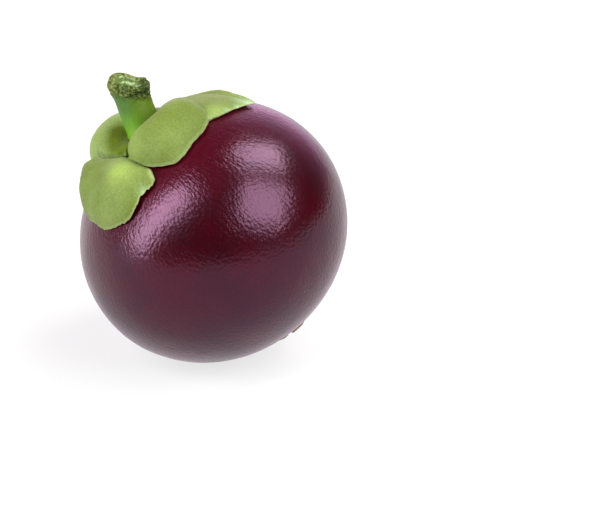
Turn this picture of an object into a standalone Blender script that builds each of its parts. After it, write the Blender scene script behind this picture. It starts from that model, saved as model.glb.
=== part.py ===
"""A whole mangosteen, resting on a small flat spot with its stalk leaning to one side.

One solid fruit carries four thick sepals that lie round the foot of the stalk, the stalk itself
with its corky cut end, and the woody rosette of the stigma on the far end of the fruit.

The fruit is drawn in its own frame, with the axis from rosette to stalk along +Z, and an empty
leans that frame over. Metres, +Z up, with the origin at the centre of the spot it rests on.
"""

import math

import bmesh
import bpy
import numpy as np
from mathutils import Matrix, Vector

MM = 0.001

# Driving dimensions, in millimetres.
EQUATOR_RADIUS = 31.0
POLAR_RADIUS = 28.6
LEAN = math.radians(36)  # of the fruit's axis, towards -X
REST_DEPTH = 0.45  # how much of the round underside the flat spot takes
UNEVENNESS = 0.006  # of the radius
CLEARANCE = 0.4  # between a piece and the skin that it lies on

BODY_SEGMENTS = 48
BODY_RINGS = 24

ARC_RADIUS = 30.6  # mean radius of the skin round its poles, for distances measured along it
CALYX_CENTRE = (2.5, -1.2)  # foot of the stalk, measured along the skin from the upper pole

SEPAL_THICKNESS = 1.8
SEPAL_THINNING = 0.35  # share of the thickness that is lost by the outer edge
SEPAL_SECTIONS = 24
SEPAL_SECTION_HALF = 9  # points along one face of a section
SEPAL_EDGE_POWER = 4.0  # how full the rounded edge is
SEPAL_END_POWER = 8.0  # how square the two ends of a sepal are

STALK_SEGMENTS = 28
STALK_OFFSET = 0.4  # how far its foot lies off the middle of the sepals
STALK_FOOT_RADIUS = 4.3
STALK_START = Vector((0.16, 0.20, 0.965)).normalized()  # its direction at the foot
STALK_END = Vector((0.40, 0.20, 0.90)).normalized()  # and at the cut end
STALK_LENGTH = 12.4
# Distance along the stalk and radius there: the neck, a swollen knob, and the scar inside its rim.
STALK_PROFILE = (
    (2.2, 4.05),
    (4.0, 4.0),
    (6.0, 3.95),
    (7.6, 3.95),
    (8.6, 4.05),
    (9.6, 4.35),
    (10.8, 4.5),
    (11.8, 4.4),
    (STALK_LENGTH, 3.95),
    (12.1, 3.3),
    (11.8, 1.9),
)
SCAR_DEPTH = 11.6
# The cut is oblique: its slopes along the stalk's two cross directions, fading in over the knob.
CUT_SLOPES = (0.21, -0.12)
CUT_START = 8.5
CUT_FULL = 11.5

ROSETTE_LOBES = 6
ROSETTE_SEGMENTS = 72
ROSETTE_RADIUS = 5.0
ROSETTE_LOBE_REACH = 1.0
ROSETTE_NOTCH = 0.4  # how wide the notches between the lobes are
ROSETTE_HEIGHT = 1.1

# Each sepal is a band round the stalk. Its edges and heights are pairs of an azimuth in degrees
# and a value in millimetres: radii from the stalk's foot, and heights of the sepal's middle layer
# over the skin. "crest" is the height part-way out, "crest_at" says how far out, from 0 to 1, and
# a "fullness" under 1 rounds the rise to it like a pillow.
SEPALS = {
    "sepal_front_right": {
        "ends": (-114, 50),
        "inner": ((-114, 5.3), (50, 5.3)),
        "outer": (
            (-114, 9.2),
            (-108, 10.6),
            (-97, 12.9),
            (-87, 15.3),
            (-78, 16.9),
            (-67, 18.1),
            (-58, 17.6),
            (-50, 17.0),
            (-40, 16.9),
            (-30, 16.7),
            (-20, 15.9),
            (-12, 15.0),
            (0, 13.4),
            (20, 10.9),
            (50, 9.3),
        ),
        "inner_height": ((-114, 1.3), (-95, 2.1), (-78, 2.9), (-60, 3.1), (-20, 3.0), (10, 2.3), (50, 1.3)),
        "crest_at": ((-114, 0.5), (-90, 0.42), (-47, 0.42), (-10, 0.45), (50, 0.6)),
        "crest": (
            (-114, 1.7),
            (-102, 3.0),
            (-90, 4.3),
            (-78, 5.1),
            (-64, 5.4),
            (-50, 5.3),
            (-22, 5.0),
            (5, 3.5),
            (25, 2.2),
            (50, 1.4),
        ),
        "outer_height": ((-114, 1.5), (-95, 1.4), (-80, 1.3), (-30, 1.3), (-14, 1.4), (10, 1.5), (50, 1.3)),
        "fullness": 0.8,
    },
    "sepal_back_left": {
        "ends": (53, 241),
        "inner": ((53, 5.3), (75, 5.1), (100, 4.95), (140, 4.5), (180, 4.4), (241, 4.7)),
        "outer": (
            (53, 9.0),
            (65, 9.6),
            (80, 12.0),
            (100, 16.0),
            (120, 19.5),
            (138, 21.2),
            (150, 19.6),
            (165, 15.8),
            (175, 12.7),
            (182, 11.1),
            (200, 9.8),
            (220, 8.9),
            (241, 8.9),
        ),
        "inner_height": ((53, 1.3), (241, 1.3)),
        "crest_at": ((53, 0.6), (100, 0.5), (138, 0.4), (165, 0.5), (180, 0.75), (241, 0.8)),
        "crest": (
            (53, 1.4),
            (80, 1.8),
            (110, 4.3),
            (138, 5.4),
            (160, 4.9),
            (172, 4.1),
            (185, 3.6),
            (205, 2.8),
            (225, 1.9),
            (241, 1.4),
        ),
        "outer_height": ((53, 1.3), (150, 1.3), (178, 1.5), (195, 1.3), (241, 1.3)),
        "fullness": 1.0,
    },
    "sepal_front_left": {
        "ends": (-184, -88.5),
        "inner": (
            (-184, 13.8),
            (-176, 12.7),
            (-170, 11.9),
            (-158, 11.0),
            (-146, 10.3),
            (-132, 9.9),
            (-119, 9.8),
            (-108, 11.2),
            (-97, 13.7),
            (-88.5, 15.7),
        ),
        "outer": (
            (-184, 15.8),
            (-172, 19.0),
            (-162, 21.5),
            (-151, 23.0),
            (-139, 24.4),
            (-130, 25.4),
            (-121, 25.2),
            (-111, 24.3),
            (-105.5, 22.7),
            (-102, 21.2),
            (-97, 20.6),
            (-92.5, 20.2),
            (-88.5, 19.3),
        ),
        "inner_height": ((-184, 2.3), (-172, 3.0), (-158, 2.7), (-140, 2.1), (-115, 1.6), (-88.5, 1.3)),
        "crest_at": ((-184, 0.35), (-165, 0.35), (-150, 0.45), (-88.5, 0.45)),
        "crest": (
            (-184, 2.6),
            (-174, 3.8),
            (-160, 3.8),
            (-145, 3.4),
            (-130, 3.4),
            (-115, 3.5),
            (-100, 2.2),
            (-88.5, 1.4),
        ),
        "outer_height": ((-184, 1.3), (-88.5, 1.3)),
        "fullness": 1.0,
    },
    "sepal_back_right": {
        "ends": (-18, 72),
        "inner": ((-18, 16.6), (-12, 15.9), (0, 14.1), (20, 11.6), (50, 10.0), (60, 10.2), (72, 11.9)),
        "outer": (
            (-18, 17.9),
            (-12, 18.8),
            (-7, 19.8),
            (0, 21.3),
            (6, 23.1),
            (11, 25.0),
            (14, 25.8),
            (18, 24.2),
            (22, 22.4),
            (28, 20.9),
            (36, 20.0),
            (46, 18.4),
            (56, 16.6),
            (66, 14.8),
            (72, 13.4),
        ),
        "inner_height": ((-18, 1.3), (72, 1.3)),
        "crest_at": ((-18, 0.5), (72, 0.5)),
        "crest": ((-18, 1.3), (72, 1.3)),
        "outer_height": ((-18, 1.3), (14, 1.3), (22, 1.5), (30, 1.8), (50, 1.7), (72, 1.4)),
        "fullness": 1.0,
    },
}


def through(points, x):
    """A smooth curve through a few (x, value) points, read at x."""
    xs, values = np.array(points, float).T
    slopes = np.gradient(values, xs)
    x = np.clip(x, xs[0], xs[-1])
    i = np.clip(np.searchsorted(xs, x, side="right") - 1, 0, len(xs) - 2)
    step = xs[i + 1] - xs[i]
    t = (x - xs[i]) / step
    return (
        (1 + 2 * t) * (1 - t) ** 2 * values[i]
        + t * (1 - t) ** 2 * step * slopes[i]
        + t * t * (3 - 2 * t) * values[i + 1]
        + t * t * (t - 1) * step * slopes[i + 1]
    )


def rounded(x, power):
    """Height of a superellipse of unit size at x, from 1 in the middle to 0 at -1 and 1."""
    return max(1 - abs(x) ** power, 0) ** (1 / power)


def unevenness(polar, azimuth):
    """The slow swell and fall of a grown fruit, as a factor on its radius."""
    waist = math.sin(polar) ** 2
    swell = math.sin(2 * azimuth + 0.6) + 0.6 * math.cos(3 * azimuth - 1.1 + polar)
    return 1 + UNEVENNESS * waist * swell * 0.5


def skin_point(polar, azimuth, height=0.0):
    """A point over the skin, in millimetres in the fruit's own frame."""
    x = math.sin(polar) * math.cos(azimuth)
    y = math.sin(polar) * math.sin(azimuth)
    z = math.cos(polar)
    foot = Vector((EQUATOR_RADIUS * x, EQUATOR_RADIUS * y, POLAR_RADIUS * z))
    normal = Vector((x / EQUATOR_RADIUS, y / EQUATOR_RADIUS, z / POLAR_RADIUS)).normalized()
    return foot * unevenness(polar, azimuth) + normal * height


def over_top(x, y, height):
    """The point at a height over the skin, for distances x and y along it from the upper pole."""
    return skin_point(math.hypot(x, y) / ARC_RADIUS, math.atan2(y, x), height)


def over_bottom(x, y, height):
    """The same from the lower pole."""
    return skin_point(math.pi - math.hypot(x, y) / ARC_RADIUS, math.atan2(y, x), height)


def from_stalk(radius, azimuth, height):
    """The same from the foot of the stalk, for a radius and an azimuth round it."""
    x = CALYX_CENTRE[0] + radius * math.cos(azimuth)
    y = CALYX_CENTRE[1] + radius * math.sin(azimuth)
    return over_top(x, y, height)


def material(name, colour, roughness):
    made = bpy.data.materials.new(name)
    made.use_nodes = True
    shader = made.node_tree.nodes["Principled BSDF"]
    shader.inputs["Base Color"].default_value = (*colour, 1)
    shader.inputs["Roughness"].default_value = roughness
    shader.inputs["Metallic"].default_value = 0.0
    return made


def object_from(name, bm, frame, finish):
    """Turns a bmesh in millimetres into a smooth-shaded object in the fruit's frame."""
    bmesh.ops.scale(bm, vec=(MM, MM, MM), verts=bm.verts)
    bmesh.ops.recalc_face_normals(bm, faces=bm.faces)
    mesh = bpy.data.meshes.new(name)
    bm.to_mesh(mesh)
    bm.free()
    mesh.shade_smooth()
    mesh.materials.append(finish)
    made = bpy.data.objects.new(name, mesh)
    made.parent = frame
    bpy.context.collection.objects.link(made)
    return made


def loft(rings, first, last):
    """A closed bmesh through closed rings of points, ending in a single point at each end."""
    bm = bmesh.new()
    loops = [[bm.verts.new(point) for point in ring] for ring in rings]
    for near, far in zip(loops, loops[1:]):
        for k in range(len(near)):
            after = (k + 1) % len(near)
            bm.faces.new((near[k], near[after], far[after], far[k]))
    for loop, tip in ((loops[0], first), (loops[-1], last)):
        end = bm.verts.new(tip)
        for k in range(len(loop)):
            bm.faces.new((loop[k], loop[(k + 1) % len(loop)], end))
    return bm


def fruit_frame():
    """The empty that leans the fruit over, at the centre of the fruit."""
    sin, cos = math.sin(LEAN), math.cos(LEAN)
    support = math.hypot(EQUATOR_RADIUS * sin, POLAR_RADIUS * cos)
    offset = (EQUATOR_RADIUS**2 - POLAR_RADIUS**2) * sin * cos / support
    frame = bpy.data.objects.new("fruit_frame", None)
    frame.location = (offset * MM, 0, (support - REST_DEPTH) * MM)
    frame.rotation_euler = (0, -LEAN, 0)
    bpy.context.collection.objects.link(frame)
    return frame


def fruit_body(frame):
    """The round fruit, cut flat where it rests."""
    bm = bmesh.new()
    bmesh.ops.create_uvsphere(bm, u_segments=BODY_SEGMENTS, v_segments=BODY_RINGS, radius=1)
    for vert in bm.verts:
        polar = math.acos(max(-1, min(1, vert.co.z)))
        vert.co = skin_point(polar, math.atan2(vert.co.y, vert.co.x))
    body = object_from("fruit_body", bm, frame, material("fruit_skin", (0.095, 0.006, 0.022), 0.34))

    size = EQUATOR_RADIUS * MM
    floor = bmesh.new()
    bmesh.ops.create_cube(floor, size=size, matrix=Matrix.Translation((0, 0, -size / 2)))
    mesh = bpy.data.meshes.new("rest_cutter")
    floor.to_mesh(mesh)
    floor.free()
    cutter = bpy.data.objects.new("rest_cutter", mesh)
    cutter.hide_render = True
    cutter.display_type = "WIRE"
    bpy.context.collection.objects.link(cutter)
    cut = body.modifiers.new("rest_spot", "BOOLEAN")
    cut.operation = "DIFFERENCE"
    cut.object = cutter


def sepal(name, shape, frame, finish):
    """One sepal, lofted from sections that run out from the stalk, edge to edge."""
    start, end = shape["ends"]
    steps = np.linspace(0, math.pi, SEPAL_SECTIONS + 1)
    across = -np.cos(np.linspace(0, math.pi, SEPAL_SECTION_HALF + 1))
    faces = [(x, 1) for x in across] + [(x, -1) for x in across[-2:0:-1]]

    def point(along, x, side):
        azimuth = start + (end - start) * (along + 1) / 2
        inner, outer = through(shape["inner"], azimuth), through(shape["outer"], azimuth)
        taper = rounded(along, SEPAL_END_POWER)
        out = 0.5 + 0.5 * x * taper
        crest_at = through(shape["crest_at"], azimuth)
        crest = through(shape["crest"], azimuth)
        if out < crest_at:
            rim = through(shape["inner_height"], azimuth)
            rise = math.sin(math.pi / 2 * out / crest_at)
        else:
            rim = through(shape["outer_height"], azimuth)
            rise = math.cos(math.pi / 2 * (out - crest_at) / (1 - crest_at))
        height = rim + (crest - rim) * rise ** shape["fullness"]
        thickness = SEPAL_THICKNESS * (1 - SEPAL_THINNING * out**2)
        height += side * thickness / 2 * taper * rounded(x, SEPAL_EDGE_POWER)
        radius = inner + (outer - inner) * out
        return from_stalk(radius, math.radians(azimuth), max(height, CLEARANCE))

    rings = [[point(-math.cos(step), x, side) for x, side in faces] for step in steps[1:-1]]
    bm = loft(rings, point(-1, 0, 0), point(1, 0, 0))
    object_from(name, bm, frame, finish)


def stalk(frame):
    """The stalk, bending from a foot that follows the skin to the hollow scar in its corky end."""
    angles = [2 * math.pi * k / STALK_SEGMENTS for k in range(STALK_SEGMENTS)]
    foot = from_stalk(STALK_OFFSET, 0, CLEARANCE)

    def along(distance):
        """The middle of the stalk and its direction, at a distance from the foot."""
        bend = (STALK_END - STALK_START) * distance / STALK_LENGTH
        return foot + (STALK_START + bend / 2) * distance, (STALK_START + bend).normalized()

    def foot_point(angle):
        x = STALK_OFFSET + STALK_FOOT_RADIUS * math.cos(angle)
        y = STALK_FOOT_RADIUS * math.sin(angle)
        return from_stalk(math.hypot(x, y), math.atan2(y, x), CLEARANCE)

    rings = [[foot_point(angle) for angle in angles]]
    for distance, radius in STALK_PROFILE:
        middle, up = along(distance)
        across = Vector((0, 1, 0)).cross(up).normalized()
        beyond = up.cross(across)
        share = max(0, min(1, (distance - CUT_START) / (CUT_FULL - CUT_START)))
        ring = []
        for angle in angles:
            x, y = radius * math.cos(angle), radius * math.sin(angle)
            shift = -share * (CUT_SLOPES[0] * x + CUT_SLOPES[1] * y)
            ring.append(middle + across * x + beyond * y + up * shift)
        rings.append(ring)
    bm = loft(rings, foot, along(SCAR_DEPTH)[0])
    object_from("stem", bm, frame, material("stalk_green", (0.16, 0.32, 0.07), 0.6))


def rosette(frame):
    """The lobed woody remains of the flower's stigma, on the end away from the stalk."""
    angles = [2 * math.pi * k / ROSETTE_SEGMENTS for k in range(ROSETTE_SEGMENTS)]
    steps = ((0.45, 0.72), (0.8, 1.0), (0.96, 0.75), (1.0, 0.3), (0.95, 0.0), (0.5, 0.0))
    rings = []
    for reach, rise in steps:
        height = CLEARANCE + ROSETTE_HEIGHT * rise
        ring = []
        for angle in angles:
            notch = math.exp(-((math.cos(ROSETTE_LOBES * angle / 2) / ROSETTE_NOTCH) ** 2))
            radius = reach * (ROSETTE_RADIUS + ROSETTE_LOBE_REACH * (1 - 2 * notch))
            ring.append(over_bottom(radius * math.cos(angle), radius * math.sin(angle), height))
        rings.append(ring)
    bm = loft(rings, over_bottom(0, 0, CLEARANCE + ROSETTE_HEIGHT * 0.5), over_bottom(0, 0, CLEARANCE))
    object_from("stigma_rosette", bm, frame, material("rosette_cork", (0.12, 0.06, 0.03), 0.8))


def main():
    for old in list(bpy.data.objects):
        bpy.data.objects.remove(old, do_unlink=True)
    frame = fruit_frame()
    fruit_body(frame)
    for name, shape in SEPALS.items():
        sepal(name, shape, frame, material(name + "_green", (0.28, 0.42, 0.13), 0.6))
    stalk(frame)
    rosette(frame)


main()
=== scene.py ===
"""The looks of a whole mangosteen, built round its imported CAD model.

Every piece is a fine closed mesh that follows the CAD node it stands for: the rind, four sepals,
the stalk and the stigma's rosette. Lengths are metres and +Z is up. The fruit is drawn in its own
frame, with the axis from rosette to stalk along +Z, and then leaned over to how it rests.
"""

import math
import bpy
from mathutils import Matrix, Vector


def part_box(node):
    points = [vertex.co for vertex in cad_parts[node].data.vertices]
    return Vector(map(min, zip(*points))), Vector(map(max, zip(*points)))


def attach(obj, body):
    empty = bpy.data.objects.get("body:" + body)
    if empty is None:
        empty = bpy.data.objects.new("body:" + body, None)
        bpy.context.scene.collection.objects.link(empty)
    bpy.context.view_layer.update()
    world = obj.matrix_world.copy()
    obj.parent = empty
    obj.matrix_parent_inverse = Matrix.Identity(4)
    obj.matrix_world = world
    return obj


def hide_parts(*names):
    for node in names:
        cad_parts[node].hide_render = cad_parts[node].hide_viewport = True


bl_info = {
    "name": "Mangosteen",
    "version": (1, 0, 0),
    "blender": (4, 5, 0),
    "location": "3D View > Sidebar > Mangosteen",
    "description": "Builds a whole mangosteen with its sepals, stalk and rosette, and a plain studio",
    "category": "Object",
}

import bmesh
import bpy
import numpy as np
from bpy.props import FloatProperty, FloatVectorProperty, IntProperty, PointerProperty
from mathutils import Matrix, Vector, noise

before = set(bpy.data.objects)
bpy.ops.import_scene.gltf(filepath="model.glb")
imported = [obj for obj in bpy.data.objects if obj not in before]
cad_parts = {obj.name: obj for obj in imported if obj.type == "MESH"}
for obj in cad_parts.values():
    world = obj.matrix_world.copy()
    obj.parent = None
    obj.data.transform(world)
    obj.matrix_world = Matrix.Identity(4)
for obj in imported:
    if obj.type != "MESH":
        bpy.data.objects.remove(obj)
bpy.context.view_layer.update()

MM = 0.001
BODY = "root"
FIT_SLACK = 2.0 * MM  # how far a piece's box may leave that of the CAD node that it stands for

ARC_RADIUS = 30.6 * MM  # mean radius of the skin round its poles, for distances measured along it
CALYX_CENTRE = (2.5 * MM, -1.2 * MM)  # foot of the stalk, measured along the skin from the upper pole
GAP = 0.06 * MM  # between a piece and the skin that it lies on
SINK = 0.2 * MM  # how much nearer to the skin the sepals lie than their CAD solids
RECEPTACLE_FADE = (11.5, 13.5)  # where the green under the sepals fades, in mm from the stalk's foot
WINE_FADE = (20, 34)  # where the wine-red round the sepals fades, in mm from the upper pole

# Each sepal is a band round the stalk. Its edges and heights are pairs of an azimuth in degrees
# and a value in millimetres: radii from the stalk's foot, and heights of the sepal's middle layer
# over the skin. "crest" is the height part-way out, "crest_at" says how far out, from 0 to 1, and
# a "fullness" under 1 rounds the rise to it like a pillow. "lip" is how far the outer edge turns
# up, and "fray" how far it is nibbled away. "age" runs from green at 0 to dull olive at 1. Each
# swell has an azimuth, a radius, a breadth and a height, and each patch of colour under "fresh",
# "hollow" and "pale" has an azimuth, a radius, a breadth and a strength.
# Patches under the first of these three are painted light, lit spots in a brighter yellow-green; under the
# second, painted shade in dark olive, in the hollow beside the stalk and elsewhere; under the third, the dry
# bluish green of thin edges.
SEPALS = {
    "sepal_front_right": {
        "ends": (-114, 50),
        "inner": ((-114, 4.9), (50, 4.9)),
        "outer": (
            (-114, 9.2), (-108, 10.6), (-97, 12.9), (-87, 15.3), (-78, 16.9), (-67, 18.1), (-58, 17.6),
            (-50, 17.0), (-40, 16.9), (-30, 16.7), (-20, 15.9), (-12, 15.0), (0, 13.4), (20, 10.9),
            (50, 9.3),
        ),
        "inner_height": ((-114, 1.2), (-95, 2.1), (-78, 2.9), (-60, 3.1), (-20, 3.1), (10, 2.3), (50, 1.0)),
        "crest_at": ((-114, 0.5), (-90, 0.4), (-70, 0.36), (-47, 0.4), (-10, 0.45), (50, 0.6)),
        "crest": (
            (-114, 1.6), (-102, 3.0), (-90, 4.3), (-78, 5.1), (-64, 5.4), (-50, 5.3), (-22, 5.0),
            (5, 3.5), (25, 2.0), (50, 0.8),
        ),
        "outer_height": ((-114, 1.5), (-95, 1.4), (-80, 1.1), (-30, 1.1), (-14, 1.4), (10, 1.5), (50, 1.2)),
        "fullness": 0.8,
        "lip": ((-114, 0.0), (50, 0.0)),
        "swells": (),
        "fray": 0.12,
        "age": 0.68,
        "painted_light": ((-95, 10.0, 3.0, 0.25),),
        "hollow": ((-32, 15.0, 5.0, 0.3), (-55, 12.5, 4.0, 0.25)),
        "pale": (),
    },
    "sepal_back_left": {
        "ends": (52, 241),
        "inner": ((52, 4.9), (100, 4.6), (140, 4.0), (180, 3.85), (241, 4.4)),
        "outer": (
            (52, 9.0), (65, 9.6), (80, 12.0), (100, 16.0), (120, 19.5), (138, 21.2), (150, 19.6),
            (165, 15.8), (175, 12.7), (182, 11.1), (200, 9.8), (220, 8.9), (241, 8.9),
        ),
        "inner_height": ((52, 0.9), (150, 1.0), (175, 0.8), (215, 0.7), (241, 0.9)),
        "crest_at": ((52, 0.6), (100, 0.5), (138, 0.4), (165, 0.5), (180, 0.75), (241, 0.8)),
        "crest": (
            (52, 1.1), (80, 1.7), (110, 4.3), (138, 5.4), (160, 4.9), (172, 4.1), (185, 3.6),
            (205, 2.8), (225, 1.9), (241, 1.4),
        ),
        "outer_height": ((52, 1.1), (150, 1.2), (178, 1.5), (195, 1.2), (241, 1.0)),
        "fullness": 1.0,
        "lip": ((52, 0.0), (241, 0.0)),
        "swells": ((205, 6.5, 2.5, -0.6),),
        "fray": 0.4,
        "age": 0.0,
        "painted_light": ((222, 9.3, 0.7, 0.4), (205, 10.0, 0.7, 0.4), (168, 10.0, 3.5, 0.12)),
        "hollow": (
            (140, 5.2, 1.8, 0.7), (162, 5.4, 1.8, 0.9), (185, 5.8, 1.9, 1.0), (210, 6.9, 2.1, 1.0),
            (232, 7.2, 1.8, 1.0), (241, 6.0, 1.8, 1.0),
        ),
        "pale": (),
    },
    "sepal_front_left": {
        "ends": (-184, -88.5),
        "inner": (
            (-184, 13.2), (-176, 11.9), (-170, 11.0), (-158, 10.3), (-146, 9.7), (-132, 9.4),
            (-122, 9.3), (-113, 9.9), (-105, 11.1), (-97, 13.1), (-88.5, 15.0),
        ),
        "outer": (
            (-184, 15.5), (-172, 19.0), (-162, 21.5), (-151, 23.0), (-139, 24.4), (-130, 25.4),
            (-121, 25.2), (-111, 24.3), (-105.5, 22.7), (-102, 21.2), (-97, 20.6), (-92.5, 20.2),
            (-88.5, 19.3),
        ),
        "inner_height": ((-184, 2.3), (-172, 3.0), (-158, 2.7), (-140, 2.1), (-115, 1.6), (-88.5, 0.8)),
        "crest_at": ((-184, 0.35), (-165, 0.35), (-150, 0.45), (-88.5, 0.45)),
        "crest": (
            (-184, 2.6), (-174, 3.8), (-160, 3.8), (-145, 3.4), (-130, 3.4), (-115, 3.4), (-100, 2.2),
            (-88.5, 1.2),
        ),
        "outer_height": ((-184, 0.9), (-88.5, 0.9)),
        "fullness": 1.0,
        "lip": ((-184, 0.0), (-112, 0.0), (-104, 0.4), (-94, 0.5), (-88.5, 0.2)),
        "swells": ((-118, 14.5, 3.0, 0.5), (-140, 16.5, 2.2, -0.35)),
        "fray": 0.4,
        "age": 0.65,
        "painted_light": ((-110, 14.4, 3.3, 0.45),),
        "hollow": ((-142, 15.5, 3.0, 0.2),),
        "pale": ((-98, 20.6, 1.2, 0.5),),
    },
    "sepal_back_right": {
        "ends": (-21, 72),
        "inner": ((-21, 15.0), (-12, 14.2), (0, 12.8), (20, 10.5), (50, 9.5), (60, 9.7), (72, 11.6)),
        "outer": (
            (-21, 16.4), (-17, 17.3), (-14, 18.1), (-7, 19.6), (0, 21.3), (6, 23.1), (11, 25.0),
            (14, 25.8), (18, 24.2), (22, 22.4), (28, 20.9), (36, 20.0), (46, 18.4), (56, 16.6),
            (66, 14.8), (72, 13.2),
        ),
        "inner_height": ((-21, 0.7), (0, 0.9), (30, 1.0), (72, 1.2)),
        "crest_at": ((-21, 0.5), (72, 0.5)),
        "crest": ((-21, 1.0), (0, 1.2), (20, 1.0), (50, 1.1), (72, 1.0)),
        "outer_height": (
            (-21, 0.8), (10, 0.8), (16, 0.8), (22, 0.9), (30, 1.0), (42, 1.0), (56, 0.8), (72, 0.8),
        ),
        "fullness": 1.0,
        "lip": ((-21, 0.1), (0, 0.15), (14, 0.3), (20, 0.9), (28, 1.2), (50, 1.2), (72, 0.8)),
        "swells": ((8, 19.0, 3.0, -0.3), (13, 23.0, 1.0, -0.5)),
        "fray": 0.12,
        "age": 0.6,
        "painted_light": ((-12, 16.0, 3.0, 0.3),),
        "hollow": ((8, 17.5, 4.0, 0.25), (17, 22.0, 0.5, 0.5), (13, 22.8, 0.5, 0.5)),
        "pale": ((10, 24.0, 2.4, 0.9), (1, 21.6, 0.9, 0.7), (-7, 19.4, 0.7, 0.5)),
    },
}

SECTIONS, SIDE_FACES = 150, 60  # sections along a sepal, and faces over each side of one
END_POWER, FACE_POWER = 8.0, 2.2  # of the superellipses that round a sepal's ends and its sections
LIP_START = 0.8  # where the lip begins, as a share of the way out
END_LENGTH = 8 * MM  # a sepal's end counts as this far from its middle, for its pale edge
PALE_EDGE, PALE_STRENGTH = 0.5 * MM, 0.6  # width and strength of a sepal's pale edge

# Distance along the stalk and radius there, in millimetres: the neck, the swollen corky knob,
# and the scar inside its rim.
STALK_PROFILE = (
    (0.0, 4.45), (1.0, 4.2), (2.2, 4.05), (4.0, 4.0), (6.0, 3.95), (7.6, 3.95), (8.6, 4.05), (9.6, 4.3),
    (10.8, 4.42), (11.8, 4.3), (12.4, 3.85),
)
SCAR_PROFILE = ((12.3, 3.4), (11.9, 2.9), (11.7, 2.1), (11.6, 1.0))
STALK_START = Vector((0.16, 0.20, 0.965)).normalized()  # its direction at the foot
STALK_END = Vector((0.40, 0.20, 0.90)).normalized()  # and at the cut end
STALK_OFFSET = 0.4 * MM  # how far its foot lies off the middle of the sepals
STALK_AROUND, STALK_ROWS, SCAR_ROWS = 160, 90, 20  # points round it, up it and down into the scar
# In millimetres up the stalk: where cork begins, how much that slants, and over what it fades in.
CORK_START, CORK_SLANT, CORK_FADE = 7.2, 1.7, 2.4
GREEN_LENGTH = 6.5  # over which the young green of its foot fades, in millimetres
# The cut slopes down to +X and -Y over the end of the stalk, by this much on each side.
CUT_START, CUT_FADE, CUT_SLOPE = 8.5, 3.0, (1.15, -0.85)
CUT_DROP, CUT_WAVE = 0.35, 0.2  # how far the cut lies under the profile's end, and its rim's wave
NOTCH_AT, NOTCH_WIDTH, NOTCH_DEPTH = math.radians(65), 0.4, 0.4  # the notch in the rim, at the back
PAINTED_SHADE_AT, PAINTED_SHADE_MEAN, PAINTED_SHADE_SWING = math.radians(-12), 0.2, 1.1  # side and share of the darker olive painted on the bark as shade
CORK_SHADE_AT, CORK_SHADE_SHARE = math.radians(-50), 0.7  # side where painted shade darkens the cork, and how much

ROSETTE_AROUND, ROSETTE_ROWS = 240, (30, 8, 12)  # points round it, and over, round and under a lobe
LOBE_REACH, LOBE_HEIGHT, LOBE_ROUGH = 1.0 * MM, 1.1 * MM, 0.18 * MM  # out, up, and its grain
# Widths of the notch and the groove between two lobes, and the groove's depth as a share.
LOBE_NOTCH, LOBE_GROOVE, GROOVE_DEPTH = 0.4, 0.18, 0.55


class MangosteenFruit(bpy.types.PropertyGroup):
    """Sizes of the round fruit and how it lies."""

    equator_radius: FloatProperty(
        name="Equator radius", description="Half the width of the fruit", default=31.0 * MM, unit="LENGTH"
    )
    polar_radius: FloatProperty(
        name="Polar radius",
        description="Half the height from rosette to stalk",
        default=28.6 * MM,
        unit="LENGTH",
    )
    lean: FloatProperty(
        name="Lean",
        description="How far the fruit's axis leans towards -X",
        default=math.radians(36),
        unit="ROTATION",
    )
    rest_depth: FloatProperty(
        name="Rest depth", description="Depth of the flat spot it rests on", default=0.45 * MM, unit="LENGTH"
    )
    unevenness: FloatProperty(
        name="Unevenness",
        description="Slow swell of the radius, as a share of it",
        default=0.006,
        subtype="FACTOR",
        min=0,
        max=1,
    )
    dimple: FloatProperty(
        name="Dimples",
        description="Height of the soft dimples of the rind",
        default=0.10 * MM,
        unit="LENGTH",
    )
    pebble: FloatProperty(
        name="Pebble size", description="Spacing of the fine pebbled grain", default=0.62 * MM, unit="LENGTH"
    )
    segments: IntProperty(name="Segments", description="Faces round the fruit", default=256)
    rings: IntProperty(name="Rings", description="Faces from pole to pole", default=160)


class MangosteenCalyx(bpy.types.PropertyGroup):
    """Sizes of the sepals, the stalk and the rosette."""

    thickness: FloatProperty(
        name="Sepal thickness", description="Thickness of a sepal's middle", default=1.8 * MM, unit="LENGTH"
    )
    thinning: FloatProperty(
        name="Sepal thinning",
        description="Share of its thickness that a sepal loses by its outer edge",
        default=0.35,
        subtype="FACTOR",
        min=0,
        max=1,
    )
    waviness: FloatProperty(
        name="Edge waviness", description="How far a sepal's edge wanders", default=0.35 * MM, unit="LENGTH"
    )
    undulation: FloatProperty(
        name="Undulation",
        description="Height of a sepal's soft unevenness",
        default=0.16 * MM,
        unit="LENGTH",
    )
    cork_relief: FloatProperty(
        name="Cork relief", description="Height of the stalk's corky lumps", default=0.45 * MM, unit="LENGTH"
    )
    rosette_radius: FloatProperty(
        name="Rosette radius", description="Mean radius of the rosette", default=5.0 * MM, unit="LENGTH"
    )
    rosette_lobes: IntProperty(name="Rosette lobes", description="Lobes of the rosette", default=6)


def hex_colour(name, description, value):
    """A colour property whose default is an sRGB hex value, turned to linear."""
    return FloatVectorProperty(
        name=name, description=description, default=linear(value), subtype="COLOR", size=3, min=0, max=1
    )


def linear(value):
    """Linear RGB of an sRGB hex string such as "#4a0a1c"."""
    parts = [int(value[i : i + 2], 16) / 255 for i in (1, 3, 5)]
    return tuple(c / 12.92 if c <= 0.04045 else ((c + 0.055) / 1.055) ** 2.4 for c in parts)


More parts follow.
